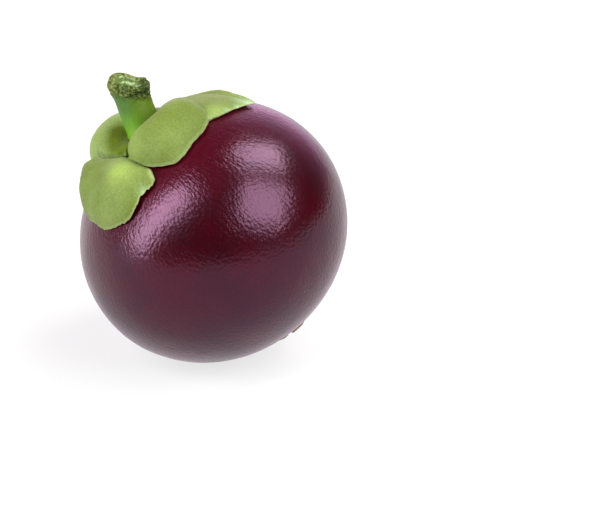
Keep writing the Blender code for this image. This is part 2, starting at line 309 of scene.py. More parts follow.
class MangosteenColours(bpy.types.PropertyGroup):
    """Colours of the fruit's surfaces."""

    rind_deep: hex_colour("Rind, deep", "Dark burgundy of the ripe rind", "#330107")
    rind_wine: hex_colour("Rind, wine", "Redder, lighter rind round the sepals", "#400512")
    rind_shade: hex_colour("Rind, shade", "Darkest patches of the rind", "#1f0206")
    rind_shine: hex_colour("Rind, shine", "Pinkish tint of the wax's shine", "#ffc4f3")
    rind_bloom: hex_colour("Rind, bloom", "Lilac of the wax's faint bloom", "#eda2e7")
    receptacle_green: hex_colour("Receptacle, green", "Fresh green of the rind under the sepals", "#bcdc58")
    sepal_green: hex_colour("Sepal, green", "Grey-green of a sepal's face", "#7e9350")
    sepal_olive: hex_colour("Sepal, olive", "Duller green of a sepal's patches", "#61702b")
    # Painted light: the brighter yellow-green of the sepals' lit patches, near the stalk and elsewhere.
    sepal_painted_light: hex_colour("Sepal, bright", "Yellow-green near the stalk", "#9fb858")
    # Painted shade: the dark olive of the hollow beside the stalk and of the sepals' shaded patches.
    sepal_hollow: hex_colour("Sepal, hollow", "Dark olive of the hollow beside the stalk", "#55660f")
    sepal_pale: hex_colour("Sepal, pale", "Dry bluish green of a thin turned-up edge", "#9dbb8c")
    sepal_rim: hex_colour("Sepal, rim", "Pale thin edge of a sepal", "#a3b279")
    stalk_low: hex_colour("Stalk, low", "Fresh green near the foot", "#6a9e18")
    stalk_high: hex_colour("Stalk, high", "Dusty green under the knob", "#47692a")
    # Painted shade: a darker olive painted on one side of the stalk's bark.
    stalk_painted_shade_side: hex_colour("Stalk, sunny", "Yellowish olive of the side that was in the sun", "#4d660a")
    cork_brown: hex_colour("Cork, brown", "Olive brown of the corky knob", "#959e59")
    # Also the colour of the cork's painted shade, in the dips of its relief and on one side.
    cork_dark: hex_colour("Cork, dark", "Dark green furrows of the cork", "#26390f")
    scar_pale: hex_colour("Scar, pale", "Pale cut end of the stalk", "#bedca8")
    scar_brown: hex_colour("Scar, brown", "Brownish green stains on the cut end", "#586a30")
    rosette_brown: hex_colour("Rosette, brown", "Dry brown of the rosette", "#5a4030")
    rosette_pale: hex_colour("Rosette, pale", "Worn tops of the rosette's lobes", "#8a7358")


class MangosteenStage(bpy.types.PropertyGroup):
    """Floor, lights and camera."""

    elevation: FloatProperty(
        name="Camera elevation",
        description="Angle over the horizon",
        default=math.radians(25),
        unit="ROTATION",
    )
    distance: FloatProperty(
        name="Camera distance", description="From the point it looks at", default=461.65 * MM, unit="LENGTH"
    )
    lens: FloatProperty(
        name="Lens", description="Focal length in millimetres", default=120.0, unit="CAMERA"
    )
    aim: FloatVectorProperty(
        name="Aim",
        description="Point that the camera looks at",
        default=(0.0232, -0.00285, 0.0229),
        unit="LENGTH",
    )
    floor_size: FloatProperty(
        name="Floor size", description="Width of the floor", default=12.0, unit="LENGTH"
    )
    light_distance: FloatProperty(
        name="Light distance", description="From the fruit to the soft boxes", default=2.5, unit="LENGTH"
    )
    floor_colour: hex_colour("Floor", "Pale matt floor", "#808080")
    wall_colour: hex_colour("Wall", "Lilac that the wall behind lends the fruit", "#ffcef9")


def through(points, x):
    """A smooth curve through a few (x, value) points, read at x, which may be an array."""
    xs, values = np.array(points, float).T
    slopes = np.gradient(values, xs)
    x = np.clip(x, xs[0], xs[-1])
    i = np.clip(np.searchsorted(xs, x, side="right") - 1, 0, len(xs) - 2)
    step = xs[i + 1] - xs[i]
    t = (x - xs[i]) / step
    return (
        (1 + 2 * t) * (1 - t) ** 2 * values[i]
        + t * (1 - t) ** 2 * step * slopes[i]
        + t * t * (3 - 2 * t) * values[i + 1]
        + t * t * (t - 1) * step * slopes[i + 1]
    )


def rounded(x, power):
    """Height of a superellipse of unit size at x, from 1 in the middle to 0 at -1 and 1."""
    return np.maximum(1 - np.abs(x) ** power, 0) ** (1 / power)


def lumps(points, size, seed=0.0):
    """Smooth noise from -1 to 1 at each point, with lumps of about that size."""
    shift = Vector((seed, 2 * seed, -seed))
    flat = points.reshape(-1, 3) / size
    values = [noise.noise(Vector(p) + shift) for p in flat]
    return np.array(values).reshape(points.shape[:-1])


def skin(polar, azimuth, height=0.0):
    """Points over the skin in the fruit's own frame, for arrays of angles and heights."""
    fruit = bpy.context.scene.mangosteen_fruit
    equator, pole = fruit.equator_radius, fruit.polar_radius
    x, y, z = np.sin(polar) * np.cos(azimuth), np.sin(polar) * np.sin(azimuth), np.cos(polar)
    swell = np.sin(2 * azimuth + 0.6) + 0.6 * np.cos(3 * azimuth - 1.1 + polar)
    uneven = 1 + fruit.unevenness * np.sin(polar) ** 2 * swell * 0.5
    foot = np.stack((equator * x, equator * y, pole * z), -1) * uneven[..., None]
    normal = np.stack((x / equator, y / equator, z / pole), -1)
    normal /= np.linalg.norm(normal, axis=-1, keepdims=True)
    return foot + normal * np.broadcast_to(height, x.shape)[..., None]


def over_top(x, y, height):
    """Points over the skin, for distances x and y along it from the upper pole."""
    return skin(np.hypot(x, y) / ARC_RADIUS, np.arctan2(y, x), height)


def over_bottom(x, y, height):
    """The same from the lower pole."""
    return skin(math.pi - np.hypot(x, y) / ARC_RADIUS, np.arctan2(y, x), height)


def from_stalk(radius, azimuth, height):
    """The same from the foot of the stalk, for a radius and an azimuth round it."""
    x = CALYX_CENTRE[0] + radius * np.cos(azimuth)
    y = CALYX_CENTRE[1] + radius * np.sin(azimuth)
    return over_top(x, y, height)


def resting():
    """The matrix that leans the fruit over and sets it on its flat spot."""
    fruit = bpy.context.scene.mangosteen_fruit
    sin, cos = math.sin(fruit.lean), math.cos(fruit.lean)
    support = math.hypot(fruit.equator_radius * sin, fruit.polar_radius * cos)
    offset = (fruit.equator_radius**2 - fruit.polar_radius**2) * sin * cos / support
    place = Matrix.Translation((offset, 0, support - fruit.rest_depth))
    return place @ Matrix.Rotation(-fruit.lean, 4, "Y")


def loft(name, node, rings, first, last, values, finish):
    """A closed, smooth piece through closed rings of points, ending in a point at each end.

    values holds, for each named attribute, its value at every ring point and at the two ends.
    """
    rows, around = rings.shape[:2]
    points = np.concatenate((rings.reshape(-1, 3), [first, last]))
    matrix = np.array(resting())
    points = points @ matrix[:3, :3].T + matrix[:3, 3]
    points[:, 2] = np.maximum(points[:, 2], 0)
    k = np.arange(around)
    after = (k + 1) % around
    faces = []
    for row in range(rows - 1):
        near, far = row * around, (row + 1) * around
        faces += np.stack((near + k, near + after, far + after, far + k), -1).tolist()
    last_row, tips = (rows - 1) * around, rows * around
    faces += np.stack((after, k, np.full(around, tips)), -1).tolist()
    faces += np.stack((last_row + k, last_row + after, np.full(around, tips + 1)), -1).tolist()
    mesh = bpy.data.meshes.new(name)
    mesh.from_pydata(points.tolist(), [], faces)
    for attribute, (on_rings, on_first, on_last) in values.items():
        whole = np.concatenate((np.reshape(on_rings, -1), [on_first, on_last]))
        mesh.attributes.new(attribute, "FLOAT", "POINT").data.foreach_set("value", whole)
    bm = bmesh.new()
    bm.from_mesh(mesh)
    bmesh.ops.recalc_face_normals(bm, faces=bm.faces)
    bm.to_mesh(mesh)
    bm.free()
    mesh.shade_smooth()
    mesh.materials.append(finish)
    piece = bpy.data.objects.new(name, mesh)
    bpy.context.scene.collection.objects.link(piece)
    low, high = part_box(node)
    if any(points.min(0) < np.array(low) - FIT_SLACK) or any(points.max(0) > np.array(high) + FIT_SLACK):
        raise RuntimeError(f"{name} leaves the space of {node}")
    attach(piece, BODY)
    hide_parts(node)
    return piece


def add(tree, kind, links=None, **settings):
    """Adds a node. links maps an input to a value or to the output that feeds it."""
    made = tree.nodes.new(kind)
    for key, value in settings.items():
        setattr(made, key, value)
    for key, value in (links or {}).items():
        socket = made.inputs[key]
        if isinstance(value, bpy.types.NodeSocket):
            tree.links.new(value, socket)
        elif socket.type == "RGBA" and len(value) == 3:
            socket.default_value = (*value, 1)
        else:
            socket.default_value = value
    return made


def new_material(name):
    """An empty node material with its shader and the object's coordinates, in metres."""
    made = bpy.data.materials.new(name)
    made.use_nodes = True
    tree = made.node_tree
    return made, tree, tree.nodes["Principled BSDF"], add(tree, "ShaderNodeTexCoord").outputs["Object"]


def rind_material():
    """Waxy mangosteen rind, grown: a smooth dark skin with pebbled grain and faint meridional creases.

    The wax gives a soft shine that the grain breaks up and a faint lilac bloom towards the outline,
    and the rind is redder near the sepals.
    """
    colours, fruit = bpy.context.scene.mangosteen_colours, bpy.context.scene.mangosteen_fruit
    made, tree, shader, place = new_material("waxy_rind")
    calyx = add(tree, "ShaderNodeAttribute", attribute_name="near_calyx").outputs["Fac"]
    receptacle = add(tree, "ShaderNodeAttribute", attribute_name="receptacle").outputs["Fac"]
    grain_at = add(tree, "ShaderNodeAttribute", attribute_name="round_axis").outputs["Vector"]

    # Darker patches a centimetre wide and faint flecks under a millimetre, wine-red near the top.
    patch = add(tree, "ShaderNodeTexNoise", {"Vector": place, "Scale": 1 / (11 * MM), "Detail": 3.0})
    patches = add(
        tree,
        "ShaderNodeMapRange",
        {"Value": patch.outputs["Fac"], "From Min": 0.4, "From Max": 0.7, "To Max": 0.8},
    )
    base = add(
        tree,
        "ShaderNodeMix",
        {0: patches.outputs[0], 6: colours.rind_deep, 7: colours.rind_shade},
        data_type="RGBA",
    )
    wine = add(tree, "ShaderNodeMix", {0: calyx, 6: base.outputs[2], 7: colours.rind_wine}, data_type="RGBA")
    rind = add(
        tree,
        "ShaderNodeMix",
        {0: receptacle, 6: wine.outputs[2], 7: colours.receptacle_green},
        data_type="RGBA",
    )
    fleck = add(tree, "ShaderNodeTexNoise", {"Vector": place, "Scale": 1 / (0.8 * MM), "Detail": 2.0})
    flecks = add(
        tree,
        "ShaderNodeMapRange",
        {"Value": fleck.outputs["Fac"], "From Min": 0.3, "From Max": 0.75, "To Min": 0.86, "To Max": 1.16},
    )
    speckled = add(
        tree, "ShaderNodeVectorMath", {0: rind.outputs[2], "Scale": flecks.outputs[0]}, operation="SCALE"
    )
    tree.links.new(speckled.outputs[0], shader.inputs["Base Color"])

    gloss = add(
        tree,
        "ShaderNodeMapRange",
        {"Value": patch.outputs["Fac"], "From Min": 0.3, "From Max": 0.7, "To Min": 0.22, "To Max": 0.27},
    )
    tree.links.new(gloss.outputs[0], shader.inputs["Roughness"])

    # Grain: domed pebbles, drawn out a little from pole to pole, with finer noise on them.
    stretched = add(tree, "ShaderNodeVectorMath", {0: grain_at, 1: (1, 1, 0.75)}, operation="MULTIPLY")
    pebble = add(
        tree,
        "ShaderNodeTexVoronoi",
        {"Vector": stretched.outputs[0], "Scale": MM / fruit.pebble, "Smoothness": 0.7},
        feature="SMOOTH_F1",
    )
    fine = add(
        tree, "ShaderNodeTexNoise", {"Vector": stretched.outputs[0], "Scale": 1 / 0.35, "Detail": 2.0}
    )
    dome = add(
        tree,
        "ShaderNodeMath",
        {0: fine.outputs["Fac"], 1: 0.5, 2: pebble.outputs["Distance"]},
        operation="MULTIPLY_ADD",
    )
    grain = add(
        tree,
        "ShaderNodeBump",
        {"Height": dome.outputs[0], "Strength": 1.0, "Distance": 0.048 * MM},
        invert=True,
    )
    # Creases: under a millimetre apart and about 6 mm long, deepest near the sepals.
    drawn = add(tree, "ShaderNodeVectorMath", {0: grain_at, 1: (1, 1, 0.14)}, operation="MULTIPLY")
    crease = add(
        tree,
        "ShaderNodeTexNoise",
        {"Vector": drawn.outputs[0], "Scale": 1 / 0.8, "Detail": 1.0, "Distortion": 0.4},
    )
    deep = add(tree, "ShaderNodeMapRange", {"Value": calyx, "To Min": 0.25, "To Max": 1.0})
    depth = add(tree, "ShaderNodeMath", {0: crease.outputs["Fac"], 1: deep.outputs[0]}, operation="MULTIPLY")
    creased = add(
        tree,
        "ShaderNodeBump",
        {"Height": depth.outputs[0], "Strength": 1.0, "Distance": 0.08 * MM, "Normal": grain.outputs[0]},
    )
    tree.links.new(creased.outputs[0], shader.inputs["Normal"])
    shader.inputs["IOR"].default_value = 1.48
    shader.inputs["Specular Tint"].default_value = (*colours.rind_shine, 1)
    shader.inputs["Sheen Weight"].default_value = 0.15
    shader.inputs["Sheen Roughness"].default_value = 0.25
    shader.inputs["Sheen Tint"].default_value = (*colours.rind_bloom, 1)
    return made


def sepal_material():
    """Leathery mangosteen sepal, grown: thick, matt and finely granular, with a thin pale edge."""
    colours = bpy.context.scene.mangosteen_colours
    made, tree, shader, place = new_material("leathery_sepal")
    age, painted_light, hollow, faded, edge = (
        add(tree, "ShaderNodeAttribute", attribute_name=name).outputs["Fac"]
        for name in ("age", "painted_light", "hollow", "pale", "near_edge")
    )

    # Each leaf's own age, with slow changes over half a centimetre.
    cloud = add(tree, "ShaderNodeTexNoise", {"Vector": place, "Scale": 1 / (6 * MM), "Detail": 2.0})
    drift = add(tree, "ShaderNodeMath", {0: cloud.outputs["Fac"], 1: -0.5}, operation="ADD")
    olive = add(
        tree,
        "ShaderNodeMath",
        {0: drift.outputs[0], 1: 1.2, 2: age},
        operation="MULTIPLY_ADD",
        use_clamp=True,
    )
    base = add(
        tree,
        "ShaderNodeMix",
        {0: olive.outputs[0], 6: colours.sepal_green, 7: colours.sepal_olive},
        data_type="RGBA",
    )
    tone = base.outputs[2]
    # Lit patches are painted a brighter yellow-green as painted light; the hollow beside the stalk and other
    # shaded patches are painted a dark olive as painted shade.
    for share, colour in (
        (painted_light, colours.sepal_painted_light),
        (hollow, colours.sepal_hollow),
        (faded, colours.sepal_pale),
        (edge, colours.sepal_rim),
    ):
        tone = add(tree, "ShaderNodeMix", {0: share, 6: tone, 7: colour}, data_type="RGBA").outputs[2]
    # Granules of about 0.4 mm, like felt from a distance.
    granule = add(
        tree,
        "ShaderNodeTexNoise",
        {"Vector": place, "Scale": 1 / (0.42 * MM), "Detail": 2.0, "Roughness": 0.6},
    )
    granules = add(
        tree,
        "ShaderNodeMapRange",
        {"Value": granule.outputs["Fac"], "From Min": 0.3, "From Max": 0.7, "To Min": 0.82, "To Max": 1.16},
    )
    speckled = add(tree, "ShaderNodeVectorMath", {0: tone, "Scale": granules.outputs[0]}, operation="SCALE")
    tree.links.new(speckled.outputs[0], shader.inputs["Base Color"])
    soft = add(
        tree, "ShaderNodeBump", {"Height": cloud.outputs["Fac"], "Strength": 0.4, "Distance": 0.4 * MM}
    )
    grain = add(
        tree,
        "ShaderNodeBump",
        {
            "Height": granule.outputs["Fac"],
            "Strength": 0.5,
            "Distance": 0.08 * MM,
            "Normal": soft.outputs[0],
        },
    )
    tree.links.new(grain.outputs[0], shader.inputs["Normal"])
    # Where shade is painted, beside the stalk and on the other shaded patches, the sepal is also duller.
    dull = add(tree, "ShaderNodeMapRange", {"Value": hollow, "To Min": 0.58, "To Max": 1.0})
    tree.links.new(dull.outputs[0], shader.inputs["Roughness"])
    shader.inputs["IOR"].default_value = 1.36
    shader.inputs["Specular IOR Level"].default_value = 0.3
    shader.inputs["Sheen Weight"].default_value = 0.04
    shader.inputs["Sheen Roughness"].default_value = 0.5
    return made


def stalk_material():
    """Green fruit stalk, grown: smooth fibrous bark below, and a rough corky knob with a cut end."""
    colours = bpy.context.scene.mangosteen_colours
    made, tree, shader, place = new_material("stalk_bark")
    along, cork, scar, painted_shade_side, low = (
        add(tree, "ShaderNodeAttribute", attribute_name=name).outputs["Fac"]
        for name in ("along", "cork", "scar", "painted_shade_side", "low")
    )

    plain = add(
        tree, "ShaderNodeMix", {0: along, 6: colours.stalk_low, 7: colours.stalk_high}, data_type="RGBA"
    )
    # Painted shade: one side of the bark is painted in a darker olive.
    bark = add(
        tree, "ShaderNodeMix", {0: painted_shade_side, 6: plain.outputs[2], 7: colours.stalk_painted_shade_side}, data_type="RGBA"
    )
    # Short fibres run along the bark, about 0.4 mm apart.
    drawn = add(tree, "ShaderNodeVectorMath", {0: place, 1: (1, 1, 0.2)}, operation="MULTIPLY")
    fibre = add(
        tree, "ShaderNodeTexNoise", {"Vector": drawn.outputs[0], "Scale": 1 / (0.4 * MM), "Detail": 2.0}
    )
    fibres = add(
        tree,
        "ShaderNodeMapRange",
        {"Value": fibre.outputs["Fac"], "From Min": 0.3, "From Max": 0.7, "To Min": 0.9, "To Max": 1.1},
    )
    fibrous = add(
        tree, "ShaderNodeVectorMath", {0: bark.outputs[2], "Scale": fibres.outputs[0]}, operation="SCALE"
    )
    # Crumbs of half a millimetre and less, with painted shade: darker in the dips of the relief, on one
    # side, and a little on the side whose bark is painted darker.
    crumb = add(
        tree,
        "ShaderNodeTexNoise",
        {"Vector": place, "Scale": 1 / (0.5 * MM), "Detail": 3.0, "Roughness": 0.6},
    )
    sunk = add(
        tree, "ShaderNodeMath", {0: painted_shade_side, 1: -0.05, 2: crumb.outputs["Fac"]}, operation="MULTIPLY_ADD"
    )
    sunken = add(tree, "ShaderNodeMath", {0: low, 1: -0.35, 2: sunk.outputs[0]}, operation="MULTIPLY_ADD")
    raised = add(tree, "ShaderNodeMapRange", {"Value": sunken.outputs[0], "From Min": 0.1, "From Max": 0.62})
    crust = add(
        tree,
        "ShaderNodeMix",
        {0: raised.outputs[0], 6: colours.cork_dark, 7: colours.cork_brown},
        data_type="RGBA",
    )
    # The cork breaks up into flakes at its lower edge.
    broken = add(tree, "ShaderNodeMath", {0: crumb.outputs["Fac"], 1: -0.5}, operation="ADD")
    ragged = add(tree, "ShaderNodeMath", {0: broken.outputs[0], 1: 2.4, 2: cork}, operation="MULTIPLY_ADD")
    corky = add(tree, "ShaderNodeMapRange", {"Value": ragged.outputs[0], "From Min": 0.45, "From Max": 0.8})
    barked = add(
        tree,
        "ShaderNodeMix",
        {0: corky.outputs[0], 6: fibrous.outputs[0], 7: crust.outputs[2]},
        data_type="RGBA",
    )
    # The cut end is pale, with brown stains a millimetre and more across.
    stain = add(tree, "ShaderNodeTexNoise", {"Vector": place, "Scale": 1 / (1.6 * MM), "Detail": 3.0})
    clean = add(
        tree, "ShaderNodeMapRange", {"Value": stain.outputs["Fac"], "From Min": 0.48, "From Max": 0.68}
    )
    pale = add(
        tree,
        "ShaderNodeMix",
        {0: clean.outputs[0], 6: colours.scar_brown, 7: colours.scar_pale},
        data_type="RGBA",
    )
    cut = add(tree, "ShaderNodeMix", {0: scar, 6: barked.outputs[2], 7: pale.outputs[2]}, data_type="RGBA")
    tree.links.new(cut.outputs[2], shader.inputs["Base Color"])
    rough = add(tree, "ShaderNodeMapRange", {"Value": corky.outputs[0], "To Min": 0.5, "To Max": 0.9})
    shader.inputs["Specular IOR Level"].default_value = 0.2
    tree.links.new(rough.outputs[0], shader.inputs["Roughness"])
    crumbly = add(
        tree, "ShaderNodeMath", {0: crumb.outputs["Fac"], 1: corky.outputs[0]}, operation="MULTIPLY"
    )
    relief = add(
        tree,
        "ShaderNodeMath",
        {0: fibre.outputs["Fac"], 1: 0.08, 2: crumbly.outputs[0]},
        operation="MULTIPLY_ADD",
    )
    bump = add(tree, "ShaderNodeBump", {"Height": relief.outputs[0], "Strength": 1.0, "Distance": 0.45 * MM})
    tree.links.new(bump.outputs[0], shader.inputs["Normal"])
    return made


def rosette_material():
    """Dry stigma, grown: matt brown cork with a crumbly grain and paler worn tops."""
    colours = bpy.context.scene.mangosteen_colours
    made, tree, shader, place = new_material("dry_cork")
    worn = add(tree, "ShaderNodeAttribute", attribute_name="worn").outputs["Fac"]
    crumb = add(
        tree,
        "ShaderNodeTexNoise",
        {"Vector": place, "Scale": 1 / (0.8 * MM), "Detail": 4.0, "Roughness": 0.65},
    )
    mixed = add(tree, "ShaderNodeMath", {0: crumb.outputs["Fac"], 1: worn}, operation="MULTIPLY")
    tops = add(tree, "ShaderNodeMapRange", {"Value": mixed.outputs[0], "From Min": 0.15, "From Max": 0.6})
    base = add(
        tree,
        "ShaderNodeMix",
        {0: tops.outputs[0], 6: colours.rosette_brown, 7: colours.rosette_pale},
        data_type="RGBA",
    )
    tree.links.new(base.outputs[2], shader.inputs["Base Color"])
    shader.inputs["Roughness"].default_value = 0.85
    bump = add(
        tree, "ShaderNodeBump", {"Height": crumb.outputs["Fac"], "Strength": 0.8, "Distance": 0.25 * MM}
    )
    tree.links.new(bump.outputs[0], shader.inputs["Normal"])
    return made


class MANGOSTEEN_OT_rind(bpy.types.Operator):
    """Make the round fruit with its rind"""

    bl_idname = "mangosteen.rind"
    bl_label = "Rind"

    def execute(self, context):
        fruit = context.scene.mangosteen_fruit
        polar = np.linspace(0, math.pi, fruit.rings + 1)[1:-1, None]
        azimuth = np.linspace(0, 2 * math.pi, fruit.segments, endpoint=False)[None, :]
        polar, azimuth = np.broadcast_arrays(polar, azimuth)
        smooth = skin(polar, azimuth)
        # Soft dimples a centimetre across, with smaller ones on them.
        height = 0.7 * lumps(smooth, 9 * MM) + 0.3 * lumps(smooth, 3.5 * MM, 5.0)
        rings = skin(polar, azimuth, fruit.dimple * height)
        from_calyx = polar * ARC_RADIUS / MM
        near = np.interp(from_calyx, WINE_FADE, (1.0, 0.0))
        # The receptacle that the sepals grow from is green, and shows where they part.
        from_stalk_foot = np.linalg.norm(rings - from_stalk(0.0, np.array(0.0), 0.0), axis=-1) / MM
        receptacle = np.interp(from_stalk_foot, RECEPTACLE_FADE, (1.0, 0.0))
        piece = loft(
            "rind",
            "fruit_body",
            rings,
            skin(np.array(0.0), np.array(0.0)),
            skin(np.array(math.pi), np.array(0.0)),
            {"near_calyx": (near, 1.0, 0.0), "receptacle": (receptacle, 1.0, 0.0)},
            rind_material(),
        )
        # The grain's own coordinates in millimetres: round the axis, and down from the stalk.
        turn = fruit.equator_radius / MM
        round_axis = np.stack((np.cos(azimuth) * turn, np.sin(azimuth) * turn, from_calyx), -1)
        round_axis = np.concatenate((round_axis.reshape(-1, 3), np.zeros((2, 3))))
        layer = piece.data.attributes.new("round_axis", "FLOAT_VECTOR", "POINT")
        layer.data.foreach_set("vector", round_axis.ravel())
        return {"FINISHED"}


def spots(places, flat):
    """Soft spots summed at flat points, each an azimuth, a radius, a breadth and a strength."""
    total = np.zeros(flat.shape[:-1])
    for at, far, breadth, strength in places:
        middle = np.array((math.cos(math.radians(at)), math.sin(math.radians(at)), 0)) * far * MM
        distance = np.linalg.norm(flat - middle, axis=-1)
        total += strength * np.exp(-((distance / (breadth * MM)) ** 2))
    return total


def sepal(shape, seed):
    """One sepal, lofted from sections that run out from the stalk, edge to edge."""
    calyx = bpy.context.scene.mangosteen_calyx
    along = -np.cos(np.linspace(0, math.pi, SECTIONS + 1))[1:-1, None]
    across = -np.cos(np.linspace(0, math.pi, SIDE_FACES + 1))
    x = np.concatenate((across, across[-2:0:-1]))[None, :]
    side = np.concatenate((np.ones(SIDE_FACES + 1), -np.ones(SIDE_FACES - 1)))[None, :]
    along, x, side = np.broadcast_arrays(along, x, side)

    start, end = shape["ends"]
    azimuth = start + (end - start) * (along + 1) / 2
    inner, outer = through(shape["inner"], azimuth) * MM, through(shape["outer"], azimuth) * MM
    turn = np.radians(azimuth)
    outward = np.stack((np.cos(turn), np.sin(turn), 0 * turn), -1)
    # The outer edge wanders, and finer nibbles fray it.
    rim = (outward * outer[..., None])[:, :1]
    wave = lumps(rim, 3.2 * MM, seed) + 0.5 * lumps(rim, 1.3 * MM, seed + 3)
    outer = outer + calyx.waviness * wave + shape["fray"] * MM * lumps(rim, 0.8 * MM, seed + 5)
    taper = rounded(along, END_POWER)
    out = 0.5 + 0.5 * x * taper
    crest_at, crest = through(shape["crest_at"], azimuth), through(shape["crest"], azimuth) * MM
    rise_in = np.sin(math.pi / 2 * np.minimum(out / crest_at, 1))
    rise_out = np.cos(math.pi / 2 * np.clip((out - crest_at) / (1 - crest_at), 0, 1))
    near = out < crest_at
    inner_height, outer_height = (through(shape[key], azimuth) for key in ("inner_height", "outer_height"))
    edge_height = np.where(near, inner_height, outer_height) * MM
    rise = np.where(near, rise_in, rise_out) ** shape["fullness"]
    height = edge_height + (crest - edge_height) * rise - SINK
    radius = inner + (outer - inner) * out
    flat = outward * radius[..., None]
    height = height + spots(shape["swells"], flat) * MM
    lip = np.clip((out - LIP_START) / (1 - LIP_START), 0, 1) ** 2
    height = height + through(shape["lip"], azimuth) * MM * lip
    height = height + calyx.undulation * (lumps(flat, 5 * MM, seed) + 0.35 * lumps(flat, 1.6 * MM, seed))
    thickness = calyx.thickness * (1 - calyx.thinning * out**2) * taper * rounded(x, FACE_POWER)
    rings = from_stalk(radius, turn, np.maximum(height + side * thickness / 2, GAP))

    edge = np.minimum((1 - np.abs(x)) * (outer - inner) / 2, (1 - np.abs(along)) * END_LENGTH)
    tones = {"age": np.full(x.shape, shape["age"])}
    # Patches of painted light and painted shade, and of dry pale green; the pale edge fades where shade is
    # painted.
    for tone in ("painted_light", "hollow", "pale"):
        tones[tone] = np.minimum(spots(shape[tone], flat), 1)
    tones["near_edge"] = np.clip(1 - edge / PALE_EDGE, 0, 1) * PALE_STRENGTH * (1 - tones["hollow"])
    return rings, tones


class MANGOSTEEN_OT_sepals(bpy.types.Operator):
    """Make the four sepals round the stalk"""

    bl_idname = "mangosteen.sepals"
    bl_label = "Sepals"

    def execute(self, context):
        finish = sepal_material()
        for number, (name, shape) in enumerate(SEPALS.items()):
            rings, tones = sepal(shape, 7.0 * number)
            first, last = rings[0].mean(0), rings[-1].mean(0)
            values = {tone: (value, value[0, 0], value[-1, 0]) for tone, value in tones.items()}
            loft(name + "_leaf", name, rings, first, last, values, finish)
        return {"FINISHED"}


class MANGOSTEEN_OT_stalk(bpy.types.Operator):
    """Make the stalk with its corky cut end"""

    bl_idname = "mangosteen.stalk"
    bl_label = "Stalk"

    def execute(self, context):
        calyx = context.scene.mangosteen_calyx
        angle = np.linspace(0, 2 * math.pi, STALK_AROUND, endpoint=False)
        foot = from_stalk(STALK_OFFSET, np.array(0.0), GAP)

        # Rows of points run up the stalk, over its rim and in to the middle of the scar.
        top = STALK_PROFILE[-1][0]
        upward = np.linspace(0, top, STALK_ROWS)
        inward = np.linspace(0, len(SCAR_PROFILE) - 1, SCAR_ROWS)
        inside, inside_radius = (through(list(enumerate(part)), inward) for part in zip(*SCAR_PROFILE))
        whole = np.ones_like(angle)
        distance = np.concatenate((upward, inside))[:, None] * MM * whole
        radius = np.concatenate((through(STALK_PROFILE, upward), inside_radius))[:, None] * MM * whole
        scar = np.concatenate((np.zeros(STALK_ROWS), np.linspace(0, 1, SCAR_ROWS)))[:, None] * whole

        cork = np.clip((distance / MM - CORK_START + CORK_SLANT * np.cos(angle)) / CORK_FADE, 0, 1)
        # The stalk bends upright from its foot to its end.
        start, end = np.array(STALK_START), np.array(STALK_END)
        share = (distance / (top * MM))[..., None]
        middle = foot + distance[..., None] * (start + (end - start) * share / 2)
        up = start + (end - start) * share
        up /= np.linalg.norm(up, axis=-1, keepdims=True)
        across = np.cross((0.0, 1.0, 0.0), up)
        across /= np.linalg.norm(across, axis=-1, keepdims=True)
        beyond = np.cross(up, across)
        spoke = np.cos(angle)[:, None] * across + np.sin(angle)[:, None] * beyond
        smooth = middle + spoke * radius[..., None]
        # Cork: lumps of two millimetres, ridges of one and crumbs of half a millimetre.
        ridges = 0.5 - 2 * np.abs(lumps(smooth, 1.1 * MM, 4.0))
        crumbs = lumps(smooth, 0.5 * MM)
        rough = 0.6 * lumps(smooth, 1.8 * MM, 2.0) + 0.6 * ridges + 0.5 * crumbs
        swell = 0.10 * MM * lumps(smooth, 3 * MM, 1.0) + calyx.cork_relief * cork * rough
        # The cut slopes, and its rim is wavy, with a notch behind.
        rim = np.clip((distance / MM - CUT_START) / CUT_FADE, 0, 1)
        notch = np.exp(-(((angle - NOTCH_AT) / NOTCH_WIDTH) ** 2))
        slope = CUT_SLOPE[0] * np.cos(angle) + CUT_SLOPE[1] * np.sin(angle)
        wave = CUT_WAVE * np.sin(3 * angle + 0.8)
        tilt = rim * MM * (wave - CUT_DROP - slope - NOTCH_DEPTH * notch)
        points = smooth + spoke * (swell * (1 - scar))[..., None]
        points = points + up * (tilt + calyx.cork_relief * 0.6 * scar * rough)[..., None]
        # Painted shade: a darker olive painted on one side of the bark.
        painted_shade_side = np.clip(PAINTED_SHADE_MEAN + PAINTED_SHADE_SWING * np.cos(angle - PAINTED_SHADE_AT), 0, 1) * np.ones_like(distance)
        # Painted shade on the cork: darker in the dips of its relief and on one more side.
        cork_painted_shade = CORK_SHADE_SHARE * np.maximum(np.cos(angle - CORK_SHADE_AT), 0)
        values = {
            "along": (np.clip(distance / (GREEN_LENGTH * MM), 0, 1), 0.0, 1.0),
            "cork": (cork, 0.0, 1.0),
            "scar": (np.clip(3 * scar - 0.9, 0, 1), 0.0, 1.0),
            "low": (np.clip(0.5 - rough + cork_painted_shade, 0, 1), 0.5, 0.5),
            "painted_shade_side": (painted_shade_side, 0.5, 0.5),
        }
        loft("stalk", "stem", points, foot, points[-1].mean(0), values, stalk_material())
        return {"FINISHED"}


